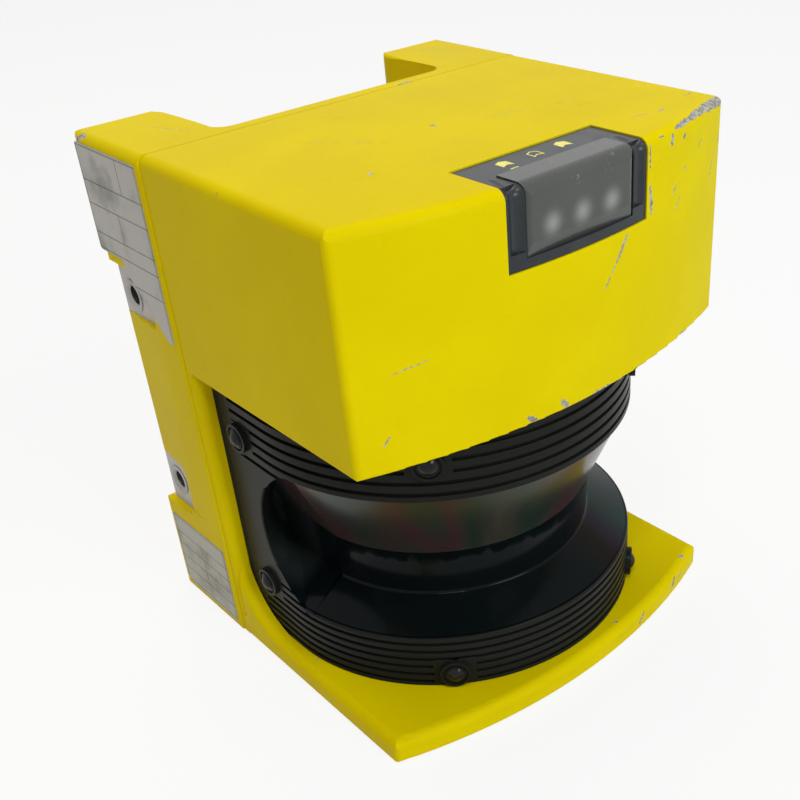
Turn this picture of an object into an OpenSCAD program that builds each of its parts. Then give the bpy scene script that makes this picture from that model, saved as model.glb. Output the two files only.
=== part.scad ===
// Safety laser scanner: two-part cast housing, moulded scanning window and the
// spinning mirror unit behind it. Millimetres, Z up, origin under the centre of
// the footprint. The crown of the front faces -Y, the mounting lugs face +Y.

/* [Housing] */
// Overall width, across the rear housing
body_w = 155; // [152:1:162]
// Overall height
body_h = 185; // [182:1:195]
// Overhang of the hood's crown in front of the window
crown_gap = 6; // [5:0.1:7]
// Wall thickness of both castings
wall = 4; // [3.5:0.1:4.5]
// Depth of the rear housing, from the seam to the mounting faces
rear_d = 46; // [45:0.5:48]
// Radius of the bowed front faces in plan
nose_r = 217; // [200:1:240]
// Height of the hood
hood_h = 72.5; // [70:0.5:74]
// Thickness of the base plate
base_t = 8.5; // [8:0.1:9]
// Rounding along the upper outer edges
edge_r = 3.5; // [3:0.1:4]
// Rounding of the upright front corners
corner_r = 3; // [2:0.1:4]
// Radius of the hollow sweep from the base plate up to the column
heel_r = 27; // [22:1:30]
// How far the rear housing stands proud of the front one at each side
side_step = 0.7; // [0.4:0.1:1]
// Open seam between the two castings
seam_gap = 0.4; // [0.3:0.1:0.6]

/* [Rear housing] */
// Width of each mounting lug
lug_w = 31; // [29:0.5:33]
// Height of the upper mounting lugs
upper_lug_h = 40; // [38:1:44]
// Height of the lower mounting lugs
lower_lug_h = 43; // [41:0.5:45]
// Rounding of the lugs' inner back corners
lug_round = 8; // [5:0.5:10]
// How far the mounting lugs stand behind the rest of the back
lug_step = 6; // [5:0.5:7]
// Depth of wall left in front of the connector recess
recess_wall = 5; // [4:0.5:6]
// Height of the recess floor above the ground
recess_floor = 48; // [46:1:52]
// Height of the lower pair of thread inserts
insert_low_z = 54; // [53:0.5:56]
// Height of the upper pair of thread inserts
insert_high_z = 130; // [128:0.5:131]
// Distance of the thread inserts from the mounting faces
insert_back = 13.5; // [13:0.5:15]
// Depth of the side pockets around the inserts
pocket_depth = 2.5; // [2:0.1:3]

/* [Window] */
// Distance from the housing's side to the ribbed bands of the window
win_inset = 6.5; // [6:0.1:8]
// Wall thickness of the window
win_t = 3; // [2.5:0.1:3.5]
// Length of the window's flat sides, behind the scan axis
side_run = 25.6; // [24.5:0.1:28]
// Depth of the waist between the ribbed bands
waist = 16; // [14:0.5:18]
// Height of the lower ribbed band
lower_band = 21; // [20:0.5:22]
// Height of the upper ribbed band
upper_band = 26; // [25:0.5:27]
// Rise of the sloping flange from the lower band to the neck
flange_rise = 7.5; // [6:0.5:9]
// Height of the neck
neck_h = 18; // [16:0.5:20]
// Depth of the grooves in the bands
groove_depth = 1.1; // [0.6:0.1:1.4]
// Width of the grooves
groove_w = 1.4; // [1:0.1:1.8]
// Spacing of the grooves in the lower band
lower_pitch = 3.35; // [3.2:0.05:3.6]
// Spacing of the grooves in the upper band
upper_pitch = 4.1; // [4:0.1:4.3]
// Thickness of the gasket strips behind the window
gasket_t = 3.5; // [3:0.1:4]
// Radius of the screw bosses on the window
boss_r = 5.4; // [5:0.1:5.8]

/* [Indicator] */
// Width of the indicator cap
cap_w = 55; // [50:1:58]
// Length of the cap over the hood's top
cap_top = 24.5; // [22:0.5:27]
// Height of the cap down the front
cap_front = 23.5; // [22:0.5:26]
// Thickness of the cap
cap_t = 2.4; // [2.2:0.1:2.8]
// How far the cap lies below the faces of the hood
cap_sink = 0.4; // [0.2:0.1:0.6]
// Width of the lens
lens_w = 42; // [38:1:44]
// Length of the lens over the hood's top
lens_top = 12.5; // [11:0.5:14]
// Height of the lens down the front
lens_front = 20.6; // [19:0.1:21]
// Radius of the hollows beside the lens
hollow_r = 4; // [3.5:0.1:4.5]
// Spacing of the three lamps
lamp_pitch = 11.7; // [10:0.1:13]

/* [Mirror unit] */
// Height of the mirror drum below the mirror
drum_foot = 3.9; // [3:0.1:6]
// Clear height between the mirror drum and the receiving tube
mirror_gap = 8.7; // [7:0.1:12]
// Radius of the shaft
shaft_r = 3; // [2.5:0.1:3.5]
// Running clearance of the shaft in its bearings
run_gap = 0.04; // [0.02:0.01:0.08]
// Radius of the motor can
can_r = 20; // [18:0.5:22]
// Height of the motor can
can_h = 21.5; // [20:0.5:23]
// How far the encoder disc reaches past the mirror drum
disc_rim = 5; // [4.5:0.1:6]
// Radius of the receiving lens
optic_r = 26; // [23:0.5:28]

/* [Hardware] */
// Clear space left around parts that drop into a casting
fit = 0.2; // [0.1:0.05:0.3]
// Radius of the M8 thread core
m8_core = 3.4; // [3.2:0.1:3.6]
// Length of the thread inserts
insert_len = 10; // [8:0.5:11]
// Thickness of the circuit boards
pcb = 1.6; // [1:0.1:2]
// Distance of the housing screws from the housing's sides
screw_inset = 17.5; // [16.5:0.5:18.5]

/* [Hidden] */
$fn = 96;
eps = 0.01;      // overlap that makes a cut run cleanly through
far = 300;       // longer than any part, for cuts that run right through

// Main planes of the housing
win_r = body_w / 2 - win_inset;
neck_r = win_r - waist;
body_d = crown_gap + win_r + side_run + gasket_t + edge_r + seam_gap + rear_d;
front_y = -body_d / 2;
back_y = body_d / 2;
seam_y = back_y - rear_d;
nose_cy = front_y + nose_r;
rear_hw = body_w / 2;
front_hw = rear_hw - side_step;
hood_z = body_h - hood_h;
axis_y = front_y + crown_gap + win_r;
front_back_y = seam_y - seam_gap;

// Window: levels, back plane and the wall it is sealed to
win_gap = 0.3;
win_bot = base_t + win_gap;
win_top = hood_z - win_gap;
flange_z = win_bot + lower_band;
lip_z = win_top - upper_band;
foot_z = flange_z + flange_rise;
neck_top_z = foot_z + neck_h;
ledge_y = front_back_y - edge_r;
win_back_y = ledge_y - gasket_t;
cord_w = 1.5;     // section of the gasket's cords, across and up
cord_h = 2;
cord_zs = [win_bot + 1.2, win_top - 1.2 - cord_h];
drum_out = win_r - win_t - 0.15;
drum_in = drum_out - wall;
neck_lean = 1;   // the neck widens by this much up to the cone

// Round end of the spool recess on the flat sides: an oblique funnel whose
// section is a circle at the neck plane and a larger, further forward one
// at the outer face
cap_in_y = side_run - 14.1;
cap_in_z = 16.7;
cap_in_r = 18;
cap_out_y = cap_in_y - 31.8;
cap_out_z = 20.5;
cap_out_r = 30.7;
cap_run = 20;

// Screws through the window: [angle from the front, height] in the round part,
// [distance behind the axis, height] in the flat sides
front_high = [40, win_top - 12];
front_low = [38, win_bot + 5.8];
side_high = [side_run - 9.6, win_top - 20.5];
side_low = [side_run - 11, win_bot + 22.2];
win_screw_r = 2;
win_screw_len = 8;
boss_rise = 1.6;
lug_r = 4;        // metal round a screw beyond the drums' edges
pad_half = 8.5;

// Housing screws: heights, and the sizes of an M5 cap screw
screw_x = rear_hw - screw_inset;
screw_high_z = body_h - 10;
screw_mid_z = (screw_high_z + 16) / 2;
screw_low_z = 16;
m5_r = 2.5;
m5_head_r = 4.25;
m5_head_h = 5;
m5_seat = 6;      // wall left under the head
m5_grip = 13;     // thread in the front housing
screw_boss_r = 6;

// Back of the housing
mid_y = back_y - lug_step;
lug_in = rear_hw - lug_w;
recess_y = seam_y + recess_wall;
insert_y = back_y - insert_back;
insert_r = 6;
insert_low_room = 1.5;   // left behind the inserts in their blind holes
insert_high_room = 0.5;
boss_wall = 3.5;

// Circuit of the indicator
lens_low_z = body_h - lens_front;
lens_back_y = front_y + lens_top;
lens_hw = lens_w / 2;
lens_t = 2.2;
lens_edge_r = 4;  // rounding of the lens along the top
lens_side_r = 2;  // rounding of the lens down its sides
lens_slope = 4;   // height of the bevel along the lens's lower edge
hollow_depth = 1;
cap_low_z = body_h - cap_front;
lamp_y = lens_back_y + 1;
rib_gap = 1.5;    // from the lens to the ribs that hold the lamps' board
rib_t = 2.5;

// Mirror unit levels
motor_z = base_t;
can_wall = 1.5;
plate_t = 3;
flange_top = motor_z + can_h + plate_t;
disc_z = flange_top + 3.1;
disc_t = 0.8;
hub_z = disc_z + disc_t + 1.2;
mirror_t = 3;
bearing_h = 5;
bearing_r = 7;
magnet_r = 9.5;
air_gap = 0.5;
collar_r = 5;

// Optics levels
plate_z = hood_z + wall;
optics_t = 3;
tube_wall = 2.5;
lens_z = lip_z + 12;
lens_edge = 3;
tube_low_z = lens_z - lens_edge / 2 - 2;
drum_r = (tube_low_z - mirror_gap - hub_z - drum_foot) / 2;
scan_z = hub_z + drum_foot + drum_r;
disc_r = drum_r + disc_rim;
motor_plate_r = disc_r + 7;
tube_top_z = plate_z + 36;
laser_r = 6;
board_z = body_h - 27;
standoff_r = 2.5;

// Sockets in the recess
socket_z = body_h - 37;
shell_w = 17;
shell_h = 8.4;
shell_out = 6;
flange_w = 31;
socket_x = (lug_in + flange_w / 2) / 3;   // equal spaces beside and between the sockets
flange_h = 12.5;
flange_t = 1;
jack_x = 12.5;
jack_r = 2.6;
pin_r = 0.5;
pin_pitch = 2.77;
pin_row = 1.42;

// ---------------------------------------------------------------- outlines

// Half profile from the axis out to r, with its outer corners rounded
module revolved_slab(r, z0, z1, top_r, bot_r) {
  translate([0, z0 + bot_r]) square([r, z1 - z0 - bot_r - top_r]);
  translate([0, z0]) square([r - bot_r, z1 - z0 - edge_r]);
  translate([0, z0 + bot_r]) square([r - top_r, z1 - z0 - bot_r]);
  translate([r - top_r, z1 - top_r]) circle(top_r);
  translate([r - bot_r, z0 + bot_r]) circle(bot_r);
}

// Upright section across the width, with its upper and lower corners rounded
module arch(hw, z0, z1, top_r, bot_r) {
  translate([-hw, z0 + bot_r]) square([2 * hw, z1 - z0 - bot_r - top_r]);
  translate([-hw + top_r, z0 + bot_r]) square([2 * (hw - top_r), z1 - z0 - bot_r]);
  translate([-hw + bot_r, z0]) square([2 * (hw - bot_r), z1 - z0 - top_r]);
  for (s = [-1, 1]) {
    translate([s * (hw - top_r), z1 - top_r]) circle(top_r);
    translate([s * (hw - bot_r), z0 + bot_r]) circle(bot_r);
  }
}

// Cutter that rounds the right-angled corner at the origin, material at -x, -y
module corner_cut(r) {
  difference() {
    translate([-r, -r]) square(r + 1);
    translate([-r, -r]) circle(r);
  }
}

// Extrudes an X-Z drawing from y0 to y1
module along_y(y0, y1) {
  translate([0, y1, 0]) rotate([90, 0, 0]) linear_extrude(y1 - y0) children();
}

// Extrudes a Y-Z drawing from x0 to x1
module along_x(x0, x1) {
  translate([x0, 0, 0]) rotate([90, 0, 90]) linear_extrude(x1 - x0) children();
}

// A cylinder along Y from y0 to y1
module rod_y(r, y0, y1) {
  translate([0, y0, 0]) rotate([-90, 0, 0]) cylinder(r = r, h = y1 - y0);
}

module at_axis() {
  translate([0, axis_y, 0]) children();
}

module both_sides() {
  children();
  mirror([1, 0, 0]) children();
}

// ------------------------------------------------------------ front housing

// Block between z0 and z1 with the bowed front face, grown outwards by g
module bowed_block(z0, z1, top_r, bot_r, g = 0) {
  hw = front_hw + g;
  r = nose_r + g;
  cr = corner_r + g;
  corner_y = nose_cy - sqrt(pow(r - cr, 2) - pow(hw - cr, 2));
  touch_x = (hw - cr) * r / (r - cr);
  touch_y = nose_cy - sqrt(r * r - touch_x * touch_x);
  difference() {
    intersection() {
      translate([0, nose_cy, 0]) rotate_extrude($fn = 360)
        revolved_slab(r, z0, z1 + g, top_r + g, bot_r);
      along_y(front_y - 10, front_back_y) arch(hw, z0, z1 + g, top_r + g, bot_r);
    }
    for (s = [0, 1]) mirror([s, 0, 0]) translate([0, 0, z0 - 1])
      linear_extrude(z1 - z0 + 10) difference() {
        translate([touch_x, touch_y - 3]) square([hw - touch_x + 1, corner_y - touch_y + 3]);
        translate([hw - cr, corner_y]) circle(cr);
      }
  }
}

module hood_solid(g = 0) {
  bowed_block(hood_z, body_h, edge_r, 1, g);
}

// Room for the electronics inside the hood, open at the seam
module hood_room() {
  intersection() {
    translate([0, nose_cy, hood_z + wall])
      cylinder(r = nose_r - wall, h = hood_h - 2 * wall, $fn = 360);
    translate([-front_hw + wall, front_y, hood_z])
      cube([2 * (front_hw - wall), body_d, body_h]);
  }
}

// U-shaped plan about the scan axis, round in front and open at the back
module u_plan(r, back) {
  difference() {
    translate([-r, axis_y - r - 1]) square([2 * r, back - axis_y + r + 1]);
    difference() {
      translate([-r - 1, axis_y - r - 2]) square([2 * r + 2, r + 2]);
      at_axis() circle(r, $fn = 180);
    }
  }
}

// Hollow sweep from the base plate to the column beside the window, with the
// outer edge rounded all the way up
module heel() {
  x0 = win_r + win_gap;
  cy = ledge_y - heel_r;
  cz = base_t + heel_r;
  difference() {
    translate([x0, cy, base_t - edge_r]) cube([front_hw - x0, heel_r + eps, heel_r + edge_r]);
    translate([0, cy, cz]) rotate([0, 90, 0]) rotate_extrude($fn = 120) difference() {
      translate([0, x0 - 1]) square([heel_r + edge_r, front_hw - x0 + 2]);
      translate([heel_r, x0 - 2]) square([edge_r + 1, front_hw - edge_r - x0 + 2]);
      translate([heel_r + edge_r, front_hw - edge_r]) circle(edge_r);
    }
  }
}

// Upright frame in front of the seam, round at its outer front edges
module column_frame() {
  difference() {
    translate([-front_hw, ledge_y, 0])
      cube([2 * front_hw, front_back_y - ledge_y, hood_z + wall]);
    both_sides() translate([front_hw, ledge_y, base_t]) mirror([0, 1, 0])
      linear_extrude(hood_z - base_t) corner_cut(edge_r);
    opening_hw = screw_x - screw_boss_r;
    translate([-opening_hw, ledge_y - 1, screw_low_z + screw_boss_r])
      cube([2 * opening_hw, rear_d, hood_z - screw_low_z - screw_boss_r + wall + 1]);
  }
}

// Wall that the window is screwed to, from z0 to z1
module window_drum(z0, z1) {
  translate([0, 0, z0]) linear_extrude(z1 - z0) difference() {
    u_plan(drum_out, ledge_y + eps);
    u_plan(drum_in, ledge_y + 1);
  }
}

// Places a child at each window screw, its X axis pointing outwards
module at_window_screws() {
  for (s = [-1, 1]) {
    for (p = [front_high, front_low])
      at_axis() rotate([0, 0, -90 + s * p[0]]) translate([0, 0, p[1]]) children();
    for (p = [side_high, side_low])
      translate([0, axis_y + p[0], p[1]]) rotate([0, 0, s > 0 ? 0 : 180]) children();
  }
}

module radial_rod(r, x0, x1) {
  translate([x0, 0, 0]) rotate([0, 90, 0]) cylinder(r = r, h = x1 - x0);
}

// Lugs inside the drums that take the window's screws
module drum_bosses() {
  both_sides() for (p = [side_high, side_low]) {
    translate([0, axis_y + p[0], p[1]]) radial_rod(lug_r, drum_in - 0.5, drum_out);
    translate([drum_in - 0.5, axis_y + p[0], p[1] - lug_r])
      cube([drum_out - drum_in + 0.5, ledge_y - axis_y - p[0] + eps, 2 * lug_r]);
  }
}

// Opening in the hood for the indicator cap, and a way through for its lens
module indicator_seat() {
  difference() {
    translate([-cap_w / 2 - fit, front_y - 5, cap_low_z - fit])
      cube([cap_w + 2 * fit, cap_top + 5 + fit, far]);
    hood_solid(-cap_t);
  }
  translate([-lens_hw - rib_gap, front_y - 5, lens_low_z - 1])
    cube([lens_w + 2 * rib_gap, lens_top + 5 + 1, far]);
}

module front_housing() color("gold") {
  difference() {
    union() {
      difference() {
        hood_solid();
        hood_room();
        translate([0, 0, hood_z - 1]) linear_extrude(wall + 2)
          u_plan(drum_in, front_back_y + 1);
        indicator_seat();
      }
      bowed_block(0, base_t, edge_r, 0.6);
      column_frame();
      both_sides() heel();
      window_drum(base_t - eps, flange_z - win_t);
      window_drum(lip_z + 6, hood_z + wall);
      both_sides() translate([lens_hw + rib_gap, front_y + wall, cap_low_z])
        cube([rib_t, lamp_y - front_y - wall + pcb + 2, body_h - wall + eps - cap_low_z]);
      drum_bosses();
      for (s = [-1, 1], z = [screw_low_z, screw_mid_z, screw_high_z])
        translate([s * screw_x, 0, z])
          rod_y(screw_boss_r, front_back_y - m5_grip - 2, front_back_y);
      for (s = [-1, 1]) translate([s * screw_x - 3, front_back_y - m5_grip - 2, screw_high_z])
        cube([6, m5_grip + 2, body_h - wall / 2 - screw_high_z]);
    }
    at_window_screws() radial_rod(win_screw_r, win_r - win_screw_len, win_r);
    for (z = cord_zs) translate([0, 0, z]) linear_extrude(cord_h) difference() {
      u_plan(drum_out + 0.1, ledge_y);
      u_plan(drum_out - cord_w, ledge_y + 1);
    }
    for (s = [-1, 1], z = [screw_low_z, screw_mid_z, screw_high_z])
      translate([s * screw_x, 0, z]) rod_y(m5_r, front_back_y - m5_grip, front_back_y + 1);
  }
}

// ------------------------------------------------------------- rear housing

// Side view of the rear housing: lugs at top and bottom, shallower between
module rear_profile() {
  heel = 6;
  sweep = 5;
  difference() {
    translate([seam_y, 0]) square([rear_d, body_h]);
    translate([mid_y, lower_lug_h]) square([lug_step + 1, body_h - upper_lug_h - lower_lug_h]);
    translate([back_y, body_h]) corner_cut(edge_r);
    translate([back_y, 0]) mirror([0, 1]) corner_cut(heel);
    translate([back_y, body_h - upper_lug_h]) mirror([0, 1]) corner_cut(sweep);
    translate([back_y, lower_lug_h]) corner_cut(sweep);
  }
}

// Pocket with a machined pad, open to the back, round a thread insert.
// It reaches low, high and front from the insert, and rise is the height of
// its slanted corner.
module side_pocket(z, low, high, front, rise) {
  pad_x = rear_hw - pocket_depth;
  y0 = insert_y - front;
  along_x(pad_x, rear_hw + 1) {
    difference() {
      polygon([[y0, z - low], [back_y + 5, z - low], [back_y + 5, z + high],
               [y0 + rise, z + high], [y0, z + high - rise]]);
      translate([y0, z - low]) rotate(180) corner_cut(4);
    }
  }
}

// Rooms inside the rear housing: one in each side rail and one across the foot
module rear_rooms() {
  y1 = mid_y - wall;
  both_sides() translate([lug_in + wall, seam_y - 1, wall])
    cube([lug_w - wall - wall - 1, y1 - seam_y + 1, body_h - 2 * wall]);
  translate([-lug_in - wall - 1, seam_y - 1, wall])
    cube([2 * (lug_in + wall + 1), y1 - seam_y + 1, recess_floor - 2 * wall]);
}

// Metal left standing in those rooms for the inserts and the housing screws
module rear_bosses() {
  both_sides() {
    for (z = [insert_low_z, insert_high_z])
      translate([rear_hw - pocket_depth - insert_len - boss_wall, insert_y, z])
        radial_rod(insert_r + boss_wall, 0, insert_len + boss_wall + 1);
    for (z = [screw_low_z, screw_mid_z, screw_high_z])
      translate([screw_x, 0, z]) rod_y(m5_head_r + 3, seam_y, back_y);
  }
}

// Tapered strip along the back of each side, between the lugs
module side_taper() {
  z0 = lower_lug_h + 3;
  z1 = body_h - upper_lug_h - 3;
  y0 = seam_y + 14;
  translate([0, 0, z0]) linear_extrude(z1 - z0)
    polygon([[rear_hw, y0], [rear_hw + 1, y0], [rear_hw + 1, mid_y + 1],
             [rear_hw - pocket_depth, mid_y + 1]]);
}

module rear_housing() color("gold") {
  difference() {
    intersection() {
      along_x(-rear_hw, rear_hw) rear_profile();
      along_y(seam_y, back_y) arch(rear_hw, 0, body_h, edge_r, 0.6);
    }
    difference() {
      rear_rooms();
      intersection() {
        rear_bosses();
        along_x(-rear_hw, rear_hw) rear_profile();
      }
    }
    // connector recess between the lugs
    recess_r = 6;
    translate([0, 0, recess_floor]) linear_extrude(body_h) difference() {
      translate([-lug_in, recess_y]) square([2 * lug_in, rear_d]);
      for (s = [0, 1]) mirror([s, 0]) translate([-lug_in, recess_y])
        rotate(180) corner_cut(recess_r);
    }
    both_sides() {
      for (p = [[rear_hw, -1, edge_r + 1], [-lug_in, recess_floor, lug_round]])
        translate([p[0], back_y, p[1]]) linear_extrude(body_h + 2) corner_cut(p[2]);
      translate([rear_hw, seam_y, -1]) mirror([0, 1, 0])
        linear_extrude(body_h + 2) corner_cut(1.2);
      side_taper();
      side_pocket(insert_low_z, 11, 10.5, 11, 2);
      side_pocket(insert_high_z, 7.5, 11.5, 18, 14);
      for (p = [[insert_low_z, insert_low_room], [insert_high_z, insert_high_room]])
        translate([rear_hw - pocket_depth - insert_len, insert_y, p[0]])
          radial_rod(insert_r, -p[1], insert_len + 1);
    }
    // cross bar under the recess, level with the back between the lugs
    along_x(-lug_in, lug_in) {
      translate([mid_y, -1]) square([lug_step + 1, recess_floor + 2]);
      translate([mid_y, recess_floor]) corner_cut(edge_r);
    }
    for (s = [-1, 1], z = [screw_low_z, screw_mid_z, screw_high_z])
      translate([s * screw_x, 0, z]) {
        rod_y(m5_r + fit, seam_y - 1, back_y);
        rod_y(m5_head_r + fit, seam_y + m5_seat, back_y + 1);
      }
    seal_ring(seam_y - 1, seam_y + 1.2);
    for (s = [-1, 1]) translate([s * socket_x, 0, socket_z]) socket_cut();
  }
}

// Closed frame in the middle of the rear housing's rim
module seal_ring(y0, y1) {
  inset = 1.3;
  width = 1.6;
  along_y(y0, y1) difference() {
    arch(rear_hw - inset, inset, body_h - inset, edge_r, 1);
    arch(rear_hw - inset - width, inset + width, body_h - inset - width, edge_r, 1);
  }
}

module housing_seal() color([0.08, 0.08, 0.08]) seal_ring(front_back_y, seam_y + 1.2);

module housing_screws() color("silver") {
  for (s = [-1, 1], z = [screw_low_z, screw_mid_z, screw_high_z])
    translate([s * screw_x, 0, z]) difference() {
      union() {
        rod_y(m5_r, front_back_y - m5_grip + 1, seam_y + m5_seat + eps);
        rod_y(m5_head_r, seam_y + m5_seat, seam_y + m5_seat + m5_head_h);
      }
      translate([0, seam_y + m5_seat + m5_head_h - 2.5, 0]) rotate([-90, 0, 0])
        cylinder(r = 2.3, h = 3, $fn = 6);
    }
}

// ------------------------------------------------------------------- window

flange_slope = atan(flange_rise / (win_r - neck_r));
cone_half = atan((win_r - 1 - neck_r - neck_lean) / (lip_z - neck_top_z));

// Radial section of the space around the spool; t shrinks the spool by a wall
module spool_section(t) {
  out = win_r + 10;
  x0 = neck_r - t;
  drop = t / cos(flange_slope);
  lift = t > 0 ? t / sin(cone_half) : 0;
  polygon([
    [x0, foot_z + t * tan(flange_slope) - drop],
    [out, foot_z - (out - neck_r) * tan(flange_slope) - drop],
    [out, lip_z + lift],
    [win_r - 1, lip_z + lift],
    [x0 + neck_lean, neck_top_z + lift - t / tan(cone_half)]
  ]);
}

// Disc of the funnel that ends the recess, at a share k of the way from the
// neck plane to the outer face
module funnel_disc(k, t, forward = 0) {
  x = neck_r - 0.5 - t * (k == 0 ? 1 : 0) + k * (win_r - neck_r + 0.5);
  y = axis_y + cap_in_y + k * (cap_out_y - cap_in_y) - forward;
  z = foot_z + cap_in_z + k * (cap_out_z - cap_in_z);
  r = cap_in_r + k * (cap_out_r - cap_in_r) + t;
  translate([x, y, z]) rotate([0, 90, 0]) cylinder(r = r, h = 0.02, $fn = 72);
}

k_out = 1.15;    // the funnel runs this share of its length, clear of the window
turn = 162;      // the round part of the spool, in degrees
tuck = neck_r * (1 - sin(turn / 2));   // its flat sides stand this much further in

// Everything outside the spool: its round part, then its flat sides, which run
// back until they curl out in the funnel
module spool_recess(t) {
  at_axis() rotate([0, 0, -90 - turn / 2]) rotate_extrude(angle = turn, $fn = 180)
    spool_section(t);
  both_sides() intersection() {
    along_y(axis_y - neck_r / 4, axis_y + win_r) translate([-tuck, 0]) spool_section(t);
    hull() { funnel_disc(0, t); funnel_disc(0, t, cap_run); funnel_disc(k_out, t); }
  }
}

// Grooves round one band, from the height z0 upwards
module band_grooves(z0, pitch, count) {
  for (i = [0 : count - 1])
    translate([0, 0, z0 + i * pitch - groove_w / 2]) linear_extrude(groove_w) difference() {
      u_plan(win_r + 3, win_back_y - 6);
      u_plan(win_r - groove_depth, win_back_y);
    }
}

// Smooth fields that interrupt the grooves round the screw bosses
module groove_fields() {
  at_window_screws() translate([drum_out, -pad_half + 1, -5.6]) cube([12, 2 * pad_half - 2, 11.2]);
  both_sides() for (p = [side_high, side_low])
    translate([drum_out, axis_y + p[0] - 1, p[1] - 7]) cube([12, win_back_y - axis_y, 9.5]);
}

module window() color([0.06, 0.06, 0.07]) {
  difference() {
    union() {
      difference() {
        translate([0, 0, win_bot]) linear_extrude(win_top - win_bot) u_plan(win_r, win_back_y);
        spool_recess(0);
        difference() {
          translate([0, 0, win_bot - 1]) linear_extrude(win_top - win_bot + 2)
            u_plan(win_r - win_t, win_back_y + 1);
          spool_recess(win_t);
        }
        difference() {
          union() {
            band_grooves(win_bot + 1.7, lower_pitch, 8);
            band_grooves(lip_z - 1.4, upper_pitch, 7);
          }
          groove_fields();
        }
      }
      at_window_screws() difference() {
        radial_rod(boss_r, win_r - 1.2, win_r + boss_rise);
        radial_rod(boss_r - 1, win_r + boss_rise - 0.6, win_r + boss_rise + 1);
      }
      at_window_screws() radial_rod(boss_r - 1.8, win_r - 1.2, win_r + boss_rise);
    }
    at_window_screws() radial_rod(win_screw_r + 0.1, win_r - win_t - 2, win_r + 5);
  }
}

// Two strips behind the window's back edges, joined by cords round both drums.
// A strip reaches in to the drums, so that the cords end inside it.
module window_gasket() color([0.1, 0.1, 0.1]) {
  strip_x = drum_out + 0.05;
  both_sides() translate([strip_x, win_back_y, win_bot])
    cube([win_r - strip_x, gasket_t, win_top - win_bot]);
  for (z = cord_zs) translate([0, 0, z]) linear_extrude(cord_h) difference() {
    u_plan(win_r - win_t, ledge_y);
    u_plan(drum_out - cord_w, ledge_y + 1);
  }
}

// Domed screws, head on the boss
module window_screws() color([0.12, 0.12, 0.12])
  at_window_screws() {
    head_r = 3;
    dome_r = 4;
    dome_h = 1.5;
    seat = win_r + boss_rise;
    radial_rod(win_screw_r, win_r - win_screw_len + 0.5, seat + eps);
    translate([seat, 0, 0]) rotate([0, 90, 0]) rotate_extrude($fn = 48) intersection() {
      translate([0, dome_h - dome_r]) circle(dome_r);
      square([head_r, dome_h + 1]);
    }
  }

// ---------------------------------------------------------------- indicator

// Distance of the bowed front behind its crown, at the distance x from the middle
function bow(x) = nose_r - sqrt(nose_r * nose_r - x * x);

// Hollow between the lens and the cap's side: down the front, round the edge
// and fading out along the top
module hollow() {
  gx = (lens_hw + cap_w / 2) / 2;
  cy = front_y + bow(gx) + edge_r;
  cz = body_h - edge_r;
  reach = edge_r - cap_sink - hollow_depth + hollow_r;
  run = lens_back_y - cy;
  translate([gx, cy - reach, lens_low_z + hollow_r / 2])
    cylinder(r = hollow_r, h = cz - lens_low_z - hollow_r / 2);
  translate([gx, cy, cz]) {
    rotate([0, 90, 0]) rotate([0, 0, 180]) rotate_extrude(angle = 90)
      translate([reach, 0]) circle(hollow_r);
    translate([0, 0, reach]) rotate([atan((hollow_depth + 0.1) / run), 0, 0])
      rod_y(hollow_r, 0, run);
  }
}

// Cap that wraps over the hood's edge, with an opening for the lens
module indicator_bezel() color([0.2, 0.21, 0.22])
  difference() {
    intersection() {
      hood_solid(-cap_sink);
      translate([-cap_w / 2, front_y - 5, cap_low_z]) cube([cap_w, cap_top + 5, far]);
    }
    hood_solid(-cap_t);
    translate([-lens_hw - fit, front_y - 5, lens_low_z])
      cube([lens_w + 2 * fit, lens_top + 5, far]);
    both_sides() hollow();
  }

// Side view of the lens, shrunk by t: upright face, bevelled below, rounded
// over the top edge
module lens_profile(t) {
  y0 = front_y + bow(lens_hw) - cap_sink / 2 + t;
  r = lens_edge_r - t;
  top = body_h - t;
  difference() {
    polygon([[y0 + 1, lens_low_z], [y0, lens_low_z + lens_slope], [y0, top],
             [lens_back_y, top], [lens_back_y, lens_low_z]]);
    translate([y0, top]) mirror([1, 0]) corner_cut(r);
  }
}

// Smoked lens, a hollow moulding open at the back and below
module indicator_lens() color([0.35, 0.35, 0.36, 0.6])
  difference() {
    intersection() {
      along_x(-lens_hw, lens_hw) lens_profile(0);
      translate([0, 0, lens_low_z]) linear_extrude(lens_front) difference() {
        y0 = front_y + bow(lens_hw) - cap_sink / 2;
        translate([-lens_hw, y0]) square([lens_w, lens_top]);
        for (s = [0, 1]) mirror([s, 0]) translate([lens_hw, y0])
          mirror([0, 1]) corner_cut(lens_side_r);
      }
    }
    along_x(-lens_hw + lens_t, lens_hw - lens_t) {
      lens_profile(lens_t);
      translate([front_y + lens_t + 2, lens_low_z - 1])
        square([lens_top - lens_t - 2 + 1, lens_front - lens_edge_r]);
    }
  }

module indicator_board() color([0.1, 0.35, 0.15])
  translate([-lens_hw - rib_gap, lamp_y, lens_low_z - 1])
    cube([lens_w + 2 * rib_gap, pcb, lens_front - wall + 1]);

// Three round lamps on the board
module indicator_leds() color([0.9, 0.9, 0.85])
  for (i = [-1, 0, 1]) translate([i * lamp_pitch, 0, lens_low_z + 7.5]) {
    rod_y(2.5, lamp_y - 3.5, lamp_y);
    translate([0, lamp_y - 3.5, 0]) sphere(2.5);
  }

// ----------------------------------------------------------------- hardware

module thread_inserts() color("gainsboro")
  both_sides() for (z = [insert_low_z, insert_high_z])
    translate([rear_hw - pocket_depth - insert_len, insert_y, z]) difference() {
      radial_rod(insert_r, 0, insert_len + 0.3);
      radial_rod(m8_core, 1, insert_len + 1);
      translate([insert_len - 0.5, 0, 0]) rotate([0, 90, 0])
        cylinder(r1 = m8_core, r2 = m8_core + 0.9, h = 0.85);
    }

// -------------------------------------------------------------- mirror unit

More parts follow.
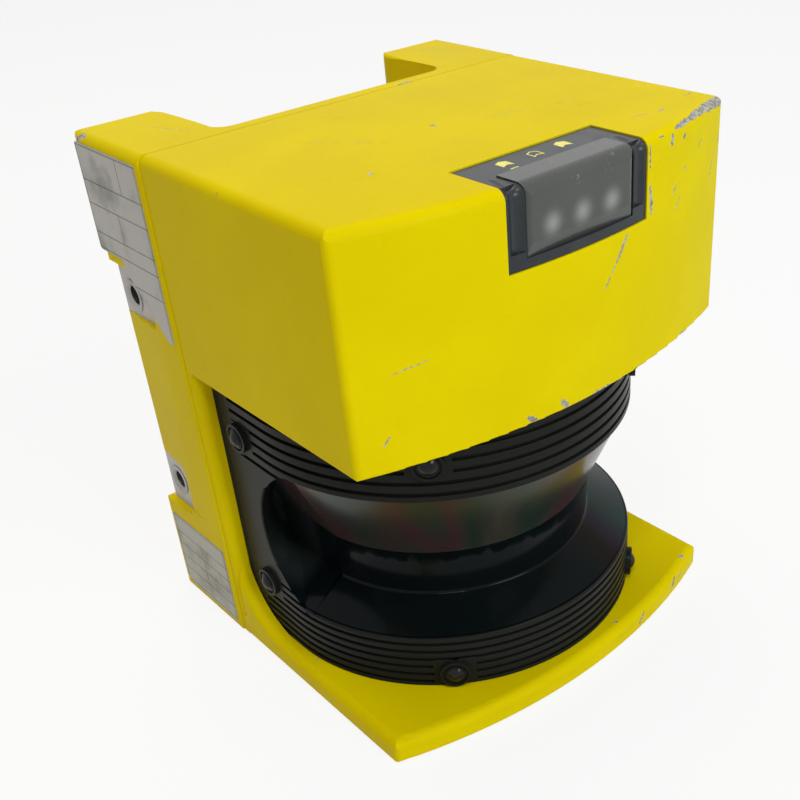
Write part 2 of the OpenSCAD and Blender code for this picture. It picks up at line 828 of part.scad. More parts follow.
module motor_can() color([0.6, 0.6, 0.62])
  at_axis() translate([0, 0, motor_z]) difference() {
    cylinder(r = can_r, h = can_h);
    translate([0, 0, can_wall]) cylinder(r = can_r - can_wall, h = can_h);
  }

// Ring of wound teeth inside the can
module motor_stator() color([0.72, 0.42, 0.2])
  at_axis() translate([0, 0, motor_z + can_wall + bearing_h + 0.5]) difference() {
    cylinder(r = can_r - can_wall, h = can_h - can_wall - 2 * bearing_h);
    translate([0, 0, -1]) cylinder(r = magnet_r + air_gap, h = can_h);
    for (i = [0 : 5]) rotate([0, 0, i * 60]) translate([magnet_r, -1.5, -1])
      cube([can_r - can_wall - magnet_r - 2.5, 3, can_h]);
  }

// Mounting plate on top of the can, with the upper bearing's seat
module motor_flange() color("silver")
  at_axis() difference() {
    translate([0, 0, motor_z + can_h]) cylinder(r = motor_plate_r, h = plate_t);
    translate([0, 0, motor_z]) cylinder(r = bearing_r, h = far);
  }

module shaft_bearings() color([0.75, 0.75, 0.78])
  at_axis() for (z = [motor_z + can_wall, flange_top - bearing_h])
    translate([0, 0, z]) difference() {
      cylinder(r = bearing_r, h = bearing_h);
      translate([0, 0, -1]) cylinder(r = shaft_r + run_gap, h = bearing_h + 2);
    }

module shaft() color("silver")
  at_axis() translate([0, 0, motor_z + can_wall + 0.5])
    cylinder(r = shaft_r, h = hub_z + 8 - motor_z - can_wall - 0.5);

module rotor_magnet() color([0.3, 0.3, 0.33])
  at_axis() translate([0, 0, motor_z + can_wall + bearing_h + 1]) difference() {
    cylinder(r = magnet_r, h = can_h - can_wall - 2 * bearing_h - 1);
    translate([0, 0, -1]) cylinder(r = shaft_r, h = can_h);
  }

// Slotted disc under the hub
module encoder_disc() color([0.55, 0.57, 0.6])
  at_axis() translate([0, 0, disc_z]) difference() {
    cylinder(r = disc_r, h = disc_t);
    translate([0, 0, -1]) cylinder(r = shaft_r, h = 3);
    for (i = [0 : 35]) rotate([0, 0, i * 10]) translate([disc_r - 4, -0.7, -1]) cube([2.6, 1.4, 3]);
  }

// Half space above the mirror's plane, lowered by d
module above_mirror(d) {
  translate([0, 0, scan_z]) rotate([45, 0, 0]) translate([-far / 2, -far / 2, -d])
    cube([far, far, far]);
}

// Turned drum, cut at 45 degrees to carry the mirror
module mirror_hub() color([0.25, 0.26, 0.28])
  at_axis() difference() {
    union() {
      translate([0, 0, hub_z]) cylinder(r = drum_r, h = scan_z + drum_r - hub_z);
      translate([0, 0, disc_z + disc_t]) cylinder(r = collar_r, h = hub_z - disc_z);
    }
    above_mirror(mirror_t);
    cylinder(r = shaft_r, h = hub_z + 8);
    // pocket that lightens the high side
    pocket_r = (drum_r - 6 - 2) / 2;
    translate([0, drum_r - 6 - pocket_r, hub_z + 12]) cylinder(r = pocket_r, h = far);
  }

module scan_mirror() color([0.9, 0.92, 0.95])
  at_axis() difference() {
    intersection() {
      translate([0, 0, scan_z - drum_r - 6]) cylinder(r = drum_r - 0.5, h = 2 * drum_r + 12);
      above_mirror(mirror_t);
    }
    above_mirror(0);
  }

// Fork that reads the disc's rim, standing on the motor plate
module encoder_sensor() color([0.12, 0.12, 0.13])
  at_axis() translate([drum_r + 1.5, -4.5, flange_top]) difference() {
    cube([disc_r - drum_r + 4.5, 9, 8]);
    translate([-1, -1, disc_z - flange_top - 1.4])
      cube([disc_r - drum_r + 1, 11, disc_t + 2.8]);
  }

// ------------------------------------------------------------------- optics

// Plate across the drum's mouth that carries the optics and the main board
module optics_plate() color([0.3, 0.31, 0.33])
  difference() {
    translate([0, 0, plate_z]) linear_extrude(optics_t) intersection() {
      u_plan(drum_out, front_back_y - 1);
      translate([-far / 2, -far / 2]) square([far, far / 2 + front_back_y - 1]);
    }
    at_axis() translate([0, 0, hood_z]) cylinder(r = optic_r + tube_wall, h = 40);
    // ways through for the motor's cables
    for (s = [-1, 1]) translate([s * (drum_in - 15.85), front_back_y - 12.6, plate_z - 1])
      cylinder(r = 6, h = 8);
  }

// Tube from the receiving lens up to the detector, with a spider for the laser
module optics_tube() color([0.1, 0.1, 0.11])
  at_axis() {
    difference() {
      translate([0, 0, tube_low_z])
        cylinder(r = optic_r + tube_wall, h = plate_z + optics_t + 3 - tube_low_z);
      translate([0, 0, tube_low_z - 1]) cylinder(r = optic_r - 1.5, h = far);
      translate([0, 0, lens_z - lens_edge / 2]) cylinder(r = optic_r, h = far);
    }
    difference() {
      translate([0, 0, plate_z + optics_t + 3])
        cylinder(r1 = optic_r + tube_wall, r2 = 16, h = tube_top_z - plate_z - optics_t - 3);
      translate([0, 0, plate_z + optics_t + 3 - eps])
        cylinder(r1 = optic_r, r2 = 16 - tube_wall, h = tube_top_z - plate_z - optics_t - 3 + 2 * eps);
    }
    for (a = [0, 120, 240]) rotate([0, 0, a]) translate([laser_r, -0.8, plate_z + 1])
      cube([optic_r - laser_r + 0.5, 1.6, 5]);
  }

// Plano-convex lens with a bore for the laser
module receiver_lens() color([0.75, 0.85, 0.9, 0.4])
  at_axis() difference() {
    union() {
      translate([0, 0, lens_z - lens_edge / 2]) cylinder(r = optic_r, h = lens_edge);
      intersection() {
        translate([0, 0, lens_z + lens_edge / 2 + 5 - 72]) sphere(72, $fn = 180);
        translate([0, 0, lens_z]) cylinder(r = optic_r, h = 10);
      }
    }
    translate([0, 0, lens_z - 10]) cylinder(r = laser_r, h = 30);
  }

module laser_module() color([0.7, 0.6, 0.3])
  at_axis() difference() {
    translate([0, 0, lens_z - 4]) cylinder(r = laser_r, h = plate_z + 8 - lens_z + 4);
    translate([0, 0, lens_z - 5]) cylinder(r = 2.2, h = 4);
  }

// Round board on the tube's end, with the detector looking down
module receiver_board() color([0.1, 0.35, 0.15])
  at_axis() {
    translate([0, 0, tube_top_z]) cylinder(r = 18, h = pcb);
    translate([0, 0, tube_top_z - 4]) cylinder(r = 4.5, h = 4 + eps);
  }

// -------------------------------------------------------------- electronics

board_w = 2 * (front_hw - wall - 10.8);
board_y0 = front_y + 28;
board_y1 = front_back_y - 20;
post_x = board_w / 2 - 10;
post_ys = [board_y0 + 16, board_y1 - 6];

module main_board() color([0.1, 0.35, 0.15]) {
  difference() {
    translate([-board_w / 2, board_y0, board_z]) cube([board_w, board_y1 - board_y0, pcb]);
    for (x = [-post_x, post_x], y = post_ys) translate([x, y, board_z - 1]) cylinder(r = 1.6, h = 4);
  }
  for (p = [[-30, -20, 20, 20, 3], [14, -24, 14, 14, 2.5], [-8, 2, 10, 18, 4], [34, -4, 12, 10, 6]])
    translate([p[0], axis_y + p[1], board_z + pcb - eps]) cube([p[2], p[3], p[4]]);
}

module board_standoffs() color("gold")
  for (x = [-post_x, post_x], y = post_ys) translate([x, y, plate_z + optics_t])
    cylinder(r = standoff_r, h = board_z - plate_z - optics_t);

power_y = mid_y - wall - 16;
power_z0 = wall + 3;
power_z1 = recess_floor - wall - 3;
power_w = 2 * (lug_in + wall + 1 - 3.5);

module power_board() color([0.1, 0.35, 0.15]) {
  translate([-power_w / 2, power_y, power_z0]) cube([power_w, pcb, power_z1 - power_z0]);
  for (p = [[-36, 16, 12], [-12, 20, 9], [20, 14, 14]])
    translate([p[0], power_y - p[2] + eps, power_z0 + 6]) cube([p[1], p[2], 18]);
}

module power_standoffs() color("gold")
  for (x = [-power_w / 2 + 6, power_w / 2 - 6], z = [power_z0 + 5, power_z1 - 5])
    translate([x, 0, z]) rod_y(standoff_r, power_y + pcb, mid_y - wall);

// ------------------------------------------------------------------ sockets

// D-shaped outline, wider at the top, with rounded corners
module d_outline(w, h, r = 1.6) {
  in = h * tan(10) / 2;
  hull() for (s = [-1, 1]) {
    translate([s * (w / 2 - r), h / 2 - r]) circle(r, $fn = 32);
    translate([s * (w / 2 - r - 2 * in), -h / 2 + r]) circle(r, $fn = 32);
  }
}

// Hole through the recess wall for a socket's body and its two jack screws
module socket_cut() {
  along_y(seam_y - 1, recess_y + 1) translate([-shell_w / 2 - 0.5, -shell_h / 2 - 0.5])
    square([shell_w + 1, shell_h + 1]);
  for (s = [-1, 1]) translate([s * jack_x, 0, 0]) rod_y(1.6, seam_y - 1, recess_y + 1);
}

// Flange on the recess wall and the D-shaped shell that stands out of it
module socket_shell() {
  y0 = recess_y;
  difference() {
    union() {
      along_y(y0, y0 + flange_t) translate([-flange_w / 2, -flange_h / 2]) square([flange_w, flange_h]);
      along_y(y0, y0 + shell_out) d_outline(shell_w, shell_h);
    }
    along_y(y0 - 1, y0 + shell_out + 1) d_outline(shell_w - 1, shell_h - 1, 1.2);
    for (s = [-1, 1]) translate([s * jack_x, 0, 0]) rod_y(1.55, y0 - 1, y0 + 3);
  }
}

module data_socket() color("silver") translate([-socket_x, 0, socket_z]) socket_shell();

module power_socket() color("silver") translate([socket_x, 0, socket_z]) socket_shell();

module socket_inserts() color([0.1, 0.1, 0.1])
  for (s = [-1, 1]) translate([s * socket_x, 0, socket_z])
    along_y(seam_y + 0.5, recess_y + 1.6) d_outline(shell_w - 1, shell_h - 1, 1.2);

module contact_pins() color("gold")
  for (s = [-1, 1]) translate([s * socket_x, recess_y + 1.6 - eps, socket_z]) {
    for (i = [-2 : 2]) translate([i * pin_pitch, 0, pin_row]) rod_y(pin_r, 0, 3.6);
    for (i = [-1.5 : 1.5]) translate([i * pin_pitch, 0, -pin_row]) rod_y(pin_r, 0, 3.6);
  }

// Hexagonal posts that take a plug's screws
module jack_screws() color("silver")
  for (s = [-1, 1], t = [-1, 1]) translate([s * socket_x + t * jack_x, recess_y + flange_t, socket_z])
    difference() {
      union() {
        rotate([-90, 0, 0]) cylinder(r = jack_r, h = 5, $fn = 6);
        rod_y(1.5, -recess_wall - flange_t + 0.5, eps);
      }
      rod_y(1.2, 1, 6);
    }

front_housing();
rear_housing();
housing_seal();
housing_screws();
window();
window_gasket();
window_screws();
indicator_bezel();
indicator_lens();
indicator_board();
indicator_leds();
thread_inserts();
motor_can();
motor_stator();
motor_flange();
shaft_bearings();
shaft();
rotor_magnet();
encoder_disc();
mirror_hub();
scan_mirror();
encoder_sensor();
optics_plate();
optics_tube();
receiver_lens();
laser_module();
receiver_board();
main_board();
board_standoffs();
power_board();
power_standoffs();
data_socket();
power_socket();
socket_inserts();
contact_pins();
jack_screws();
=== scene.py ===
from math import cos, pi, radians, sin

import bpy
from mathutils import Matrix, Vector


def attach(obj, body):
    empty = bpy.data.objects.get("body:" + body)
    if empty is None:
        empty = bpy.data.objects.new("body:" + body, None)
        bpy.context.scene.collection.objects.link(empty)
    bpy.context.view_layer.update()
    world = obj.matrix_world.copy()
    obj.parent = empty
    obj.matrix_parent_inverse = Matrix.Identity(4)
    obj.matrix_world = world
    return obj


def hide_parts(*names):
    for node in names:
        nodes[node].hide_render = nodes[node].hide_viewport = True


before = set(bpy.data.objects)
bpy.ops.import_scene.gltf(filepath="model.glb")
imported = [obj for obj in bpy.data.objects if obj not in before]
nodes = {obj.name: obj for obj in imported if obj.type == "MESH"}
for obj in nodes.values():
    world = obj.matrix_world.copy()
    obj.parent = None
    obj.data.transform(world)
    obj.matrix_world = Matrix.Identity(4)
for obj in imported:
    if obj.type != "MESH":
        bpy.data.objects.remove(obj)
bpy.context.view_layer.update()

bpy.ops.object.select_all(action="DESELECT")


# ---------------------------------------------------------------- castings
# The front and rear housings are aluminium castings, screwed together under
# a thick yellow powder coat. It is finely pimpled, rubbed dull where hands
# hold it, and knocked through to grey metal at the corners.

MM = 0.001


class Wire:
    """One value, place or colour on its way through a material's nodes."""

    def __init__(self, tree, socket):
        self.tree, self.socket = tree, socket

    def node(self, kind, settings=None, out=0, **inputs):
        """A new node. Each input goes by its socket's name, or by i and the socket's number."""
        made = self.tree.nodes.new("ShaderNode" + kind)
        for name, value in (settings or {}).items():
            if name == "stops":
                stops = made.color_ramp.elements
                while len(stops) < len(value):
                    stops.new(1.0)
                for stop, (position, colour) in zip(stops, value):
                    stop.position, stop.color = position, (*colour, 1.0)
            else:
                setattr(made, name, value)
        for name, value in inputs.items():
            key = int(name[1:]) if name[1:].isdigit() else name.replace("_", " ")
            if isinstance(value, Wire):
                self.tree.links.new(value.socket, made.inputs[key])
            else:
                made.inputs[key].default_value = value
        return Wire(self.tree, made.outputs[out])

    def maths(self, operation, first, second=0.0):
        return self.node("Math", {"operation": operation}, i0=first, i1=second)

    def axis(self, name):
        return self.node("SeparateXYZ", out="XYZ".index(name), i0=self)

    def length(self):
        return self.node("VectorMath", {"operation": "LENGTH"}, out=1, i0=self)

    def __add__(self, other):
        return self.maths("ADD", self, other)

    def __sub__(self, other):
        return self.maths("SUBTRACT", self, other)

    def __mul__(self, other):
        return self.maths("MULTIPLY", self, other)

    def __rsub__(self, other):
        return self.maths("SUBTRACT", other, self)

    def __abs__(self):
        return self.maths("ABSOLUTE", self)

    __radd__, __rmul__ = __add__, __mul__


def from_to(value, low, high):
    """Rises smoothly from 0 to 1 while value goes from low to high."""
    return value.node("MapRange", {"interpolation_type": "SMOOTHSTEP"},
                      i0=value, i1=low, i2=high, i3=0.0, i4=1.0)


def past(measure, edge, blur):
    """Rises from 0 to 1 where a measure on the piece crosses edge, give or take blur, in millimetres."""
    return from_to(measure, (edge - blur) * MM, (edge + blur) * MM)


def grain(place, scale, detail=3.0, rough=0.5):
    return place.node("TexNoise", Vector=place, Scale=scale, Detail=detail, Roughness=rough)


def mixed(share, under, over):
    return share.node("Mix", {"data_type": "RGBA"}, out=2, i0=share, i6=under, i7=over)


def most(first, *others):
    for other in others:
        first = first.maths("MAXIMUM", first, other)
    return first


def marks(place, across, spots):
    """1 inside any of a list of long spots, each (start, end, half width) in millimetres.

    across is the way out of the surface; a spot reaches well above and below it.
    """
    least_depth, depth_to_width = 1.6, 1.3
    nearest = None
    for start, end, width in spots:
        start, end = Vector(start), Vector(end)
        along = (end - start).normalized() if end != start else Vector(across).orthogonal()
        out = Vector(across).cross(along).cross(along).normalized()
        turn = Matrix((along, out.cross(along), out)).transposed().to_euler()
        size = Vector(((end - start).length / 2 + width, width, max(least_depth, depth_to_width * width)))
        inside = place.node("Mapping", {"vector_type": "TEXTURE"}, Vector=place,
                            Location=(start + end) / 2 * MM, Rotation=turn, Scale=size * MM)
        far = inside.length()
        nearest = far if nearest is None else place.maths("MINIMUM", nearest, far)
    return 1.0 - from_to(nearest, 0.80, 1.0)


def shaken(place, scale, reach):
    """The place of each point moved about by up to reach millimetres, which makes drawn edges ragged."""
    shake = place.node("TexNoise", out=1, Vector=place, Scale=scale, Detail=4.0, Roughness=0.65)
    shake = place.node("VectorMath", {"operation": "SUBTRACT"}, i0=shake, i1=(0.5, 0.5, 0.5))
    shake = place.node("VectorMath", {"operation": "SCALE"}, i0=shake, i3=reach * 4 * MM)
    return place.node("VectorMath", {"operation": "ADD"}, i0=place, i1=shake)


def finish(name, roughness=0.5, metallic=0.0, **constants):
    """A new material, its shader node, and the place of each point on the piece."""
    made = bpy.data.materials.new(name)
    made.use_nodes = True
    shader = made.node_tree.nodes["Principled BSDF"]
    shader.inputs["Roughness"].default_value = roughness
    shader.inputs["Metallic"].default_value = metallic
    for key, value in constants.items():
        shader.inputs[key.replace("_", " ")].default_value = value
    coordinates = made.node_tree.nodes.new("ShaderNodeTexCoord")
    return made, shader, Wire(made.node_tree, coordinates.outputs["Object"])


def feed(shader, **wires):
    for key, wire in wires.items():
        wire.tree.links.new(wire.socket, shader.inputs[key.replace("_", " ")])


def bumped(height, depth):
    return height.node("Bump", Height=height, Distance=depth * MM, Strength=1.0)


def cover(node, material):
    piece = nodes[node]
    piece.data.materials.clear()
    piece.data.materials.append(material)


def yellow_coat(name, chips, top_rubs, front_rubs=(), milled=None):
    """The coat of one casting, with its chips, its scratches and the bare milled pads.

    milled is how far out the pads lie and the (middle, half height) of each, in millimetres.
    """
    deep_yellow, pale_yellow, grimy_yellow = (0.79, 0.60, 0.0, 1), (0.83, 0.64, 0.0, 1), (0.50, 0.36, 0.0, 1)
    dull_metal, clean_metal = (0.25, 0.24, 0.22, 1), (0.50, 0.48, 0.44, 1)
    made, shader, place = finish(name, Specular_IOR_Level=0.02)
    clouds = grain(place, 26.0, 4.0)
    smears = grain(place, 90.0, 5.0, 0.65)
    yellow = mixed(from_to(clouds, 0.35, 0.7), deep_yellow, pale_yellow)
    grime = from_to(smears, 0.60, 0.84) * 0.25
    yellow = mixed(grime, yellow, grimy_yellow)
    bare = marks(shaken(place, 420.0, 0.75), (0, -0.7, 0.7), chips)
    faint = shaken(place, 260.0, 0.22)
    faces = [((0, -1, 0), front_rubs), ((0, 0, 1), top_rubs)]
    rubbed = most(*[marks(faint, out, rubs) for out, rubs in faces if rubs])
    worn = most(bare, rubbed * from_to(grain(place, 170.0, 3.0), 0.36, 0.50) * 0.75)
    metal = mixed(from_to(grain(place, 900.0), 0.4, 0.6), dull_metal, clean_metal)
    if milled:
        x, z = place.axis("X"), place.axis("Z")
        out, bands = milled
        pad = most(*[1.0 - past(abs(z - middle * MM), half + 0.15, 0.15) for middle, half in bands])
        pad = pad * (1.0 - past(abs(abs(x) - out * MM), 0.10, 0.05))
        metal = mixed(pad, metal, (0.56, 0.53, 0.50, 1))
        worn, bare = most(worn, pad), most(bare, pad * 0.6)
    feed(shader, Base_Color=mixed(worn, yellow, metal),
         Roughness=0.36 + clouds * 0.08 + grime * 0.4 + bare * 0.12,
         Metallic=bare * 0.5,
         Normal=bumped(grain(place, 620.0, 2.0) * 0.35 + smears * 0.10, 0.03))
    return made


def softened(node, material, widths, clamp=True):
    """A copy of a cast or moulded piece that stands for it, with edges rounded.

    widths pairs a test on an edge with how far the rounding reaches from it in millimetres. The test is
    given the edge's two ends, in millimetres, and the ways out of the two faces beside it. clamp holds
    all roundings back to what the shortest edge allows.
    """
    least_bend, smooth_bend = radians(25), radians(35)
    bpy.ops.object.select_all(action="DESELECT")
    piece = bpy.data.objects.new(node + "_finished", nodes[node].data.copy())
    bpy.context.scene.collection.objects.link(piece)
    piece.select_set(True)
    bpy.context.view_layer.objects.active = piece
    bpy.ops.mesh.customdata_custom_splitnormals_clear()
    bpy.ops.object.mode_set(mode="EDIT")
    bpy.ops.mesh.select_mode(type="EDGE")
    bpy.ops.mesh.select_all(action="SELECT")
    bpy.ops.mesh.mark_sharp(clear=True)
    bpy.ops.mesh.remove_doubles(threshold=0.005 * MM)
    bpy.ops.mesh.dissolve_limited(angle_limit=radians(0.1))
    for wanted, width in widths:
        bpy.ops.mesh.select_all(action="DESELECT")
        bpy.ops.object.mode_set(mode="OBJECT")
        beside = {}
        for face in piece.data.polygons:
            for key in face.edge_keys:
                beside.setdefault(key, []).append(face.normal)
        for edge in piece.data.edges:
            sides = beside.get(tuple(sorted(edge.vertices)), [])
            ends = [piece.data.vertices[i].co / MM for i in edge.vertices]
            edge.select = (len(sides) == 2 and sides[0].angle(sides[1], 0) > least_bend
                           and wanted(*ends, *sides))
        bpy.ops.object.mode_set(mode="EDIT")
        bpy.ops.mesh.bevel(offset=width * MM, segments=3, affect="EDGES", clamp_overlap=clamp)
    bpy.ops.object.mode_set(mode="OBJECT")
    bpy.ops.object.shade_smooth_by_angle(angle=smooth_bend)
    weighted = piece.modifiers.new("flat faces first", "WEIGHTED_NORMAL")
    weighted.keep_sharp, weighted.weight = True, 80
    bpy.ops.object.modifier_apply(modifier="flat faces first")
    piece.data.materials.clear()
    piece.data.materials.append(material)
    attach(piece, "housing")
    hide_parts(node)
    return piece


hood_coat = yellow_coat(
    "yellow coat, hood",
    chips=[((76.4, -63, 183.2), (62, -67.8, 184.6), 2.0), ((66, -66.8, 184.4), (50, -71.4, 184.6), 1.5),
           ((52, -71, 184.2), (43, -73.2, 184), 1.1), ((76.3, -63.6, 182.6), (76.2, -64, 177), 0.9),
           ((76.4, -60, 183), (76.4, -44, 184.2), 0.8), ((41, -74, 182.4), (40.5, -74.2, 179.6), 0.9),
           ((66, -66, 181.4), (62, -67, 182.6), 0.9), ((48.6, -72.4, 181), (48, -72.5, 179.8), 0.7),
           ((34.5, -75, 184), (37, -74.8, 184), 0.5), ((29.2, -76, 171), (30.4, -75.8, 162), 0.8),
           ((28.6, -75.6, 183.4), (29.2, -75.8, 176), 0.5), ((-20, -77.2, 113.6), (-23, -76.9, 115.4), 0.8),
           ((-8, -77.9, 113.4), (-10, -77.8, 116.2), 1.1), ((2, -78, 112.9), (14, -77.6, 112.8), 0.5),
           ((47, -73, 113), (56, -70.6, 113), 0.7), ((-77, -12, 184.2), (-77, -15, 184), 0.6),
           ((-76.6, -34, 184.4), (-76.8, -36, 184), 0.5), ((-1.2, -15.2, 185), (-1.8, -15.4, 185), 0.8),
           ((-41.2, -36.8, 185), (-42.4, -37, 185), 0.7)],
    front_rubs=[
        ((18.6, -77.2, 160), (13, -77.6, 152), 0.8), ((13, -77.6, 152), (8.2, -77.9, 145.7), 0.45),
        ((71.8, -65.6, 170), (67.4, -67.3, 160.4), 0.4), ((74.9, -64.3, 174.6), (74.3, -64.6, 170.4), 0.4),
        ((72.6, -65.2, 166), (71.6, -65.8, 163), 0.6), ((57.8, -70.2, 174), (60.1, -69.5, 176.2), 0.35),
        ((50, -72.2, 169.6), (49.2, -72.4, 170.8), 0.5), ((44.6, -73.4, 167), (42.2, -73.8, 164.2), 0.4),
        ((47, -73, 163), (44, -73.8, 158.5), 0.3), ((-68.6, -66.9, 121.6), (-64.8, -68.1, 126.2), 0.4),
        ((-65, -68, 142.8), (-52.6, -71.5, 144.4), 0.2)],
    top_rubs=[
        ((54, -59.6, 185), (50, -60.6, 185), 0.5), ((72, -55, 185), (68.4, -55.6, 185), 0.5),
        ((40, -58, 185), (47, -59.4, 185), 0.3), ((12, -20, 185), (48, -32, 185), 0.2),
        ((-40, 5, 185), (-22, -18, 185), 0.18)])
foot_coat = yellow_coat(
    "yellow coat, foot",
    chips=[((66.4, -65.4, 8.6), (67, -65, 8.4), 1.1), ((33, -75.5, 6), (30, -76, 2.4), 0.6),
           ((57, -70, 6), (54, -71, 3), 0.8), ((62, -68, 5.6), (60.5, -68.8, 3), 0.7),
           ((-76.6, -61, 1.6), (-74, -63.6, 1.2), 0.7), ((19, -73.6, 8.5), (19.3, -73.6, 8.5), 0.5)],
    top_rubs=[((33.9, -75.3, 9.6), (11.9, -77.7, 9.4), 0.35), ((-72.2, -10.6, 9.2), (-70, -11.4, 8.6), 0.5)])
back_coat = yellow_coat(
    "yellow coat, back",
    chips=[((-77.2, 73.5, 183), (-76.4, 69, 184.8), 1.1), ((-77.4, 76.8, 181), (-77.2, 76.8, 176), 0.6),
           ((77.4, 72, 183), (77.2, 60, 184.6), 1.0), ((-50, 78, 184), (-60, 78, 184), 0.7),
           ((22, 32.4, 184.9), (28.6, 32.4, 184.9), 0.6), ((46, 77.6, 184.2), (46.3, 76.6, 180), 0.6)],
    front_rubs=[((30, 72, 20), (-10, 72, 32), 0.3)],
    top_rubs=[((-60, 60, 185), (-52, 40, 185), 0.2), ((55, 70, 185), (70, 50, 185), 0.2)],
    milled=(75, ((54.5, 12.4), (139, 16.8))))

# The column between foot and hood keeps its edges, and so does all before the seam on the rear housing.
column_low, column_high, coats_meet = 12, 109, 100
seam_y, lug_y, lug_top = 33, 44, 184.9
front = softened("front_housing", hood_coat, [
    (lambda a, b, m, n: min(a.z, b.z) < column_low or max(a.z, b.z) > column_high, 0.5)])
front.data.materials.append(foot_coat)
for face in front.data.polygons:
    face.material_index = int(face.center.z < coats_meet * MM)
softened("rear_housing", back_coat, [
    (lambda a, b, m, n: min(a.y, b.y) > lug_y and min(a.z, b.z) > lug_top, 1.6),
    (lambda a, b, m, n: min(a.y, b.y) > seam_y, 0.5)])


# ----------------------------------------------------------- seal and gasket
# Black rubber: a cord pressed flat in the seam between the castings, and the
# moulded strips and cords behind and inside the window.

def rubber(name, tone):
    made, shader, place = finish(name, Specular_IOR_Level=0.12)
    dust = from_to(grain(place, 240.0, 4.0), 0.5, 0.75)
    feed(shader, Base_Color=mixed(dust, (tone, tone, tone, 1), (tone * 2.2, tone * 2.1, tone * 1.9, 1)),
         Roughness=0.55 + dust * 0.25, Normal=bumped(grain(place, 900.0), 0.03))
    return made


cover("housing_seal", rubber("seam rubber", 0.014))
cover("window_gasket", rubber("gasket rubber", 0.006))


# --------------------------------------------------- inserts and cap screws
# Turned steel inserts sit in the side pockets with their faces just proud of
# the milled pads. The long cap screws of the back are zinc plated.

def turned_steel(name, colour, rings=1400.0):
    made, shader, place = finish(name, metallic=1.0)
    turning = grain(place, rings, 2.0)
    stain = from_to(grain(place, 130.0, 4.0), 0.45, 0.75)
    dark = tuple(c * 0.78 for c in colour)
    feed(shader, Base_Color=mixed(stain, (*colour, 1), (*dark, 1)),
         Roughness=0.26 + turning * 0.2 + stain * 0.15, Normal=bumped(turning, 0.012))
    return made


cover("thread_inserts", turned_steel("insert steel", (0.30, 0.29, 0.27)))
cover("housing_screws", turned_steel("zinc plate", (0.60, 0.60, 0.58), 900.0))


# ------------------------------------------------------------------- window
# One moulding of black plastic that only lets infrared through. It is
# polished on the spool, where painted sheen and reflections stand in for its
# violet and green glints, and satin on the ribbed bands and the flat sides.
# Eight screws and a gasket hold it.

win_r, axis_y = 71.0, -1.0
flange_z, foot_z, cone_low, cone_top = 29.8, 37.3, 55.3, 86.5
turned_y, rim_z, rib_z = 4.0, (40.0, 78.0), (9.5, 111.5)


def window_black():
    """Satin outside, polished in the recess, where its sheen and reflections are painted, and duller again in
    the funnels that end it.
    """
    satin, funnel_clean, funnel_smudged = (
        (0.014, 0.0145, 0.013, 1), (0.020, 0.026, 0.026, 1), (0.040, 0.046, 0.045, 1))
    # Painted sheen and reflections of the surroundings on the cone, in soft random patches of brown, green
    # and violet.
    cone_painted_sheen = [
        (0.30, (0.034, 0.030, 0.022)), (0.42, (0.015, 0.026, 0.019)), (0.50, (0.030, 0.026, 0.022)),
        (0.58, (0.046, 0.020, 0.024)), (0.70, (0.024, 0.028, 0.022))]
    # Painted reflection on the flange: black on the left, violet, teal and grey-blue towards the right.
    flange_painted_reflection = [
        (0.28, (0.003, 0.005, 0.006)), (0.42, (0.009, 0.004, 0.003)), (0.52, (0.018, 0.013, 0.024)),
        (0.66, (0.016, 0.038, 0.033)), (0.90, (0.036, 0.044, 0.050))]
    made, shader, place = finish("window plastic", Specular_IOR_Level=0.07, Coat_Roughness=0.16)
    x, y, z = (place.axis(name) for name in "XYZ")
    from_axis = place.node("Mapping", Vector=place, Location=(0, -axis_y * MM, 0), Scale=(1, 1, 0)).length()
    inside = 1.0 - past(from_axis, win_r - 0.4, 0.3)
    polished = past(z, flange_z - 1.0, 0.2) * (1.0 - past(z, cone_top, 0.3)) * inside
    cone = past(z, cone_low, 0.2) * polished
    sheen_noise = grain(place.node("Mapping", Vector=place, Scale=(1.0, 1.0, 0.25)), 34.0, 1.0)
    cone_sheen = sheen_noise.node("ValToRGB", {"stops": cone_painted_sheen}, i0=sheen_noise)
    # The flange's painted reflection brightens from left to right, with some slow wander.
    drift = grain(place, 16.0, 1.0) * 0.35
    flange = drift.node("ValToRGB", {"stops": flange_painted_reflection}, i0=drift + x * 12.0 + y * 2.0)
    smudge = from_to(grain(place, 60.0, 5.0, 0.6), 0.52, 0.78)
    funnel = past(y, 3.0, 5.0) * inside
    spool = mixed(funnel * 0.8, mixed(cone, flange, cone_sheen), mixed(smudge, funnel_clean, funnel_smudged))
    feed(shader, Base_Color=mixed(polished, satin, spool),
         Roughness=0.32 - polished * 0.20 + most(cone * 0.10, funnel * 0.22) + smudge * 0.02,
         Coat_Weight=cone * (1.0 - funnel) * 0.25,
         Normal=bumped(grain(place, 1500.0) * (1.0 - polished), 0.002))
    return made


def on_outside(point):
    """True on the outside wall: round about the scan axis, and straight back from its plane."""
    return abs(Vector((point.x, min(point.y - axis_y, 0.0))).length - win_r) < 0.1


def side_rim(a, b, m, n):
    """Edge between a flat side and the funnel that ends the recess, clear of the ribs."""
    inner, outer = sorted((abs(m.x), abs(n.x)))
    return outer > 0.999 and 0.1 < inner < 0.98 and all(
        on_outside(p) and rim_z[0] < p.z < rim_z[1] for p in (a, b))


def flange_edge(a, b, m, n):
    """Outer edge of the sloping flange, over the lower band."""
    return 0.5 < max(m.z, n.z) < 0.98 and all(
        on_outside(p) and abs(p.z - flange_z) < 0.25 and p.y < turned_y for p in (a, b))


def neck_foot(a, b, m, n):
    """The turned corner where the neck stands on the flange."""
    return all(abs(p.z - foot_z) < 0.1 and p.y < turned_y for p in (a, b))


